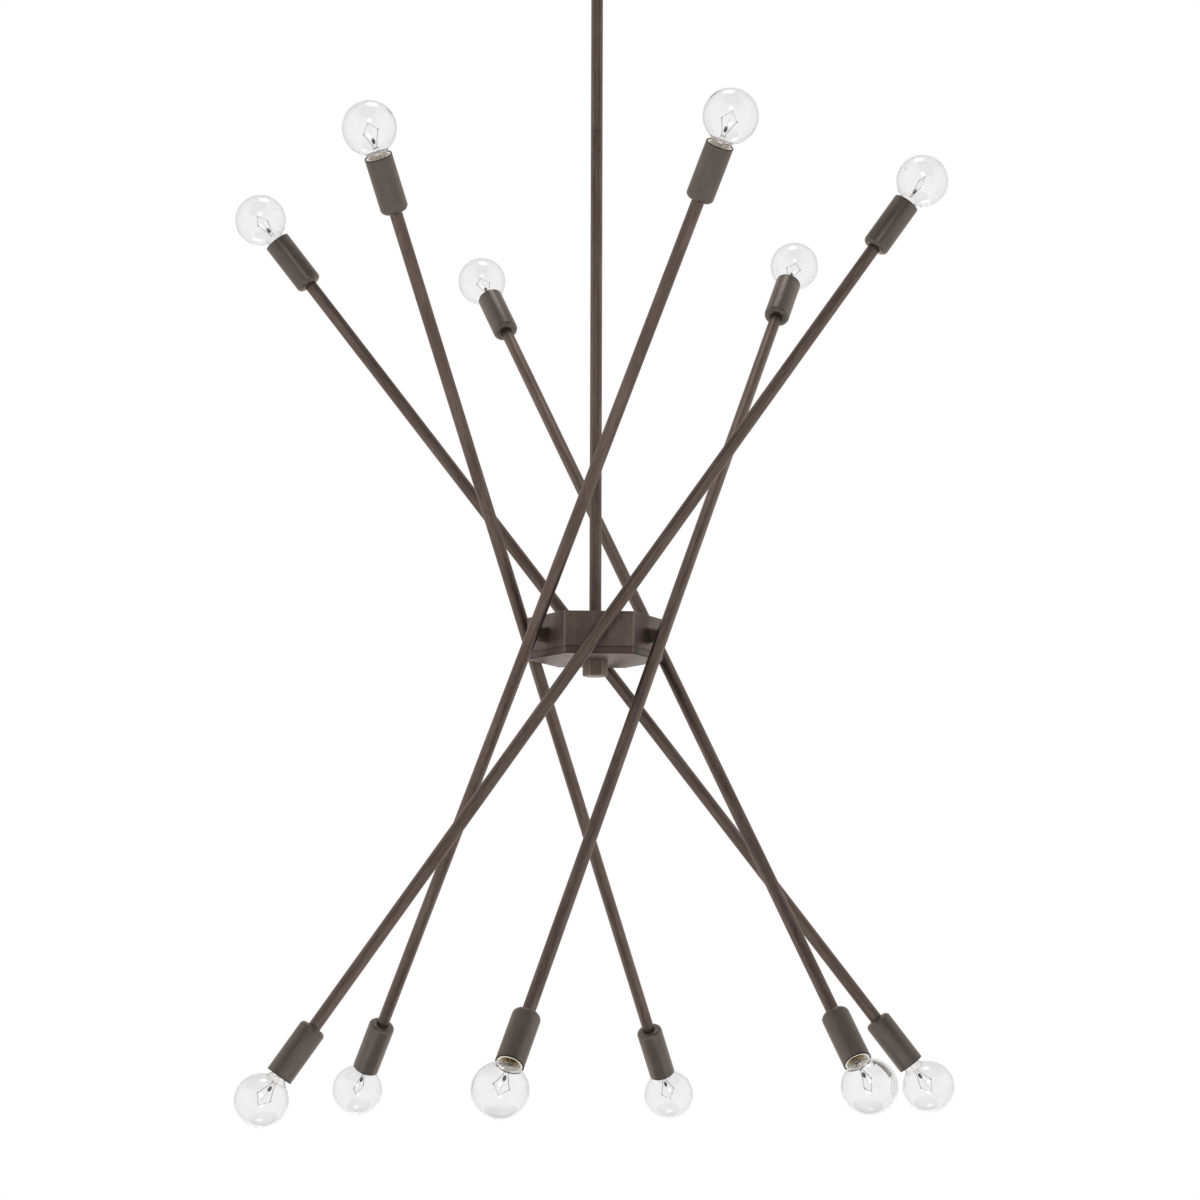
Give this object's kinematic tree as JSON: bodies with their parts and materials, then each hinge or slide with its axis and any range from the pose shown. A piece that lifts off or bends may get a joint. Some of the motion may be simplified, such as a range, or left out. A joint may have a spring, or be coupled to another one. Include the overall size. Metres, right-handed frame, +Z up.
{
  "type": "sputnik chandelier",
  "caption": "Rod-hung ceiling light: long straight arms swivel on the faces of a hexagonal hub and hold a clear globe bulb at each end.",
  "frame": {"origin": "centre of the bracket's bolt pattern, in the plane of the ceiling", "axes": "+Z up out of the ceiling face, -Y towards the front arm, +X to the right along the bracket"},
  "size_m": [0.7342, 0.7108, 1.2062],
  "materials": {
    "bronze": "mottled dark bronze, satin",
    "hub_bronze": "mottled dark bronze, satin",
    "sleeve_bronze": "smooth satin bronze",
    "zinc": "zinc plated",
    "socket_cream": "moulded, cream",
    "brass": "drawn brass",
    "bulb_cap": "nickel brass",
    "bulb_glass": "clear",
    "bulb_wire": "clear glass stem with dark wires"
  },
  "bodies": {
    "ceiling_set": {"mounting_bracket": "zinc", "canopy_screws": "zinc", "canopy_nuts": "bronze", "canopy": "bronze"},
    "swivel": {"swivel_yoke": "bronze", "swivel_pins": "bronze"},
    "pendant": {"upper_rod": "bronze", "threaded_nipples": "zinc", "lower_rod": "bronze", "hub_body": "hub_bronze", "hub_cover": "hub_bronze", "hub_finial": "hub_bronze"},
    "arm_1": {"arm_1_tube": "bronze", "arm_1_swivel": "bronze", "arm_1_sleeves": "sleeve_bronze", "arm_1_sockets": "socket_cream", "arm_1_screw_shells": "brass", "arm_1_bulb_bases": "bulb_cap", "arm_1_bulb_glass": "bulb_glass", "arm_1_bulb_mounts": "bulb_wire"},
    "arm_2": {"arm_2_tube": "bronze", "arm_2_swivel": "bronze", "arm_2_sleeves": "sleeve_bronze", "arm_2_sockets": "socket_cream", "arm_2_screw_shells": "brass", "arm_2_bulb_bases": "bulb_cap", "arm_2_bulb_glass": "bulb_glass", "arm_2_bulb_mounts": "bulb_wire"},
    "arm_3": {"arm_3_tube": "bronze", "arm_3_swivel": "bronze", "arm_3_sleeves": "sleeve_bronze", "arm_3_sockets": "socket_cream", "arm_3_screw_shells": "brass", "arm_3_bulb_bases": "bulb_cap", "arm_3_bulb_glass": "bulb_glass", "arm_3_bulb_mounts": "bulb_wire"},
    "arm_4": {"arm_4_tube": "bronze", "arm_4_swivel": "bronze", "arm_4_sleeves": "sleeve_bronze", "arm_4_sockets": "socket_cream", "arm_4_screw_shells": "brass", "arm_4_bulb_bases": "bulb_cap", "arm_4_bulb_glass": "bulb_glass", "arm_4_bulb_mounts": "bulb_wire"},
    "arm_5": {"arm_5_tube": "bronze", "arm_5_swivel": "bronze", "arm_5_sleeves": "sleeve_bronze", "arm_5_sockets": "socket_cream", "arm_5_screw_shells": "brass", "arm_5_bulb_bases": "bulb_cap", "arm_5_bulb_glass": "bulb_glass", "arm_5_bulb_mounts": "bulb_wire"},
    "arm_6": {"arm_6_tube": "bronze", "arm_6_swivel": "bronze", "arm_6_sleeves": "sleeve_bronze", "arm_6_sockets": "socket_cream", "arm_6_screw_shells": "brass", "arm_6_bulb_bases": "bulb_cap", "arm_6_bulb_glass": "bulb_glass", "arm_6_bulb_mounts": "bulb_wire"}
  },
  "joints": [
    {"name": "canopy_swivel", "type": "hinge", "parent": "ceiling_set", "child": "swivel", "pos_m": [0, 0, -0.0254], "axis": [0, 0, 1], "range_deg": [-180, 180]},
    {"name": "stem_tilt", "type": "hinge", "parent": "swivel", "child": "pendant", "pos_m": [0, 0, -0.0437], "axis": [1, 0, 0], "range_deg": [-30, 30]},
    {"name": "arm_1_swivel", "type": "hinge", "parent": "pendant", "child": "arm_1", "pos_m": [0, -0.0742, -0.7255], "axis": [0, 1, 0], "range_deg": [-30, 35]},
    {"name": "arm_2_swivel", "type": "hinge", "parent": "pendant", "child": "arm_2", "pos_m": [0.06426, -0.0371, -0.7255], "axis": [-0.866, 0.5, 0], "range_deg": [-30, 35]},
    {"name": "arm_3_swivel", "type": "hinge", "parent": "pendant", "child": "arm_3", "pos_m": [0.06426, 0.0371, -0.7255], "axis": [-0.866, -0.5, 0], "range_deg": [-30, 35]},
    {"name": "arm_4_swivel", "type": "hinge", "parent": "pendant", "child": "arm_4", "pos_m": [0, 0.0742, -0.7255], "axis": [0, -1, 0], "range_deg": [-30, 35]},
    {"name": "arm_5_swivel", "type": "hinge", "parent": "pendant", "child": "arm_5", "pos_m": [-0.06426, 0.0371, -0.7255], "axis": [0.866, -0.5, 0], "range_deg": [-30, 35]},
    {"name": "arm_6_swivel", "type": "hinge", "parent": "pendant", "child": "arm_6", "pos_m": [-0.06426, -0.0371, -0.7255], "axis": [0.866, 0.5, 0], "range_deg": [-30, 35]}
  ]
}
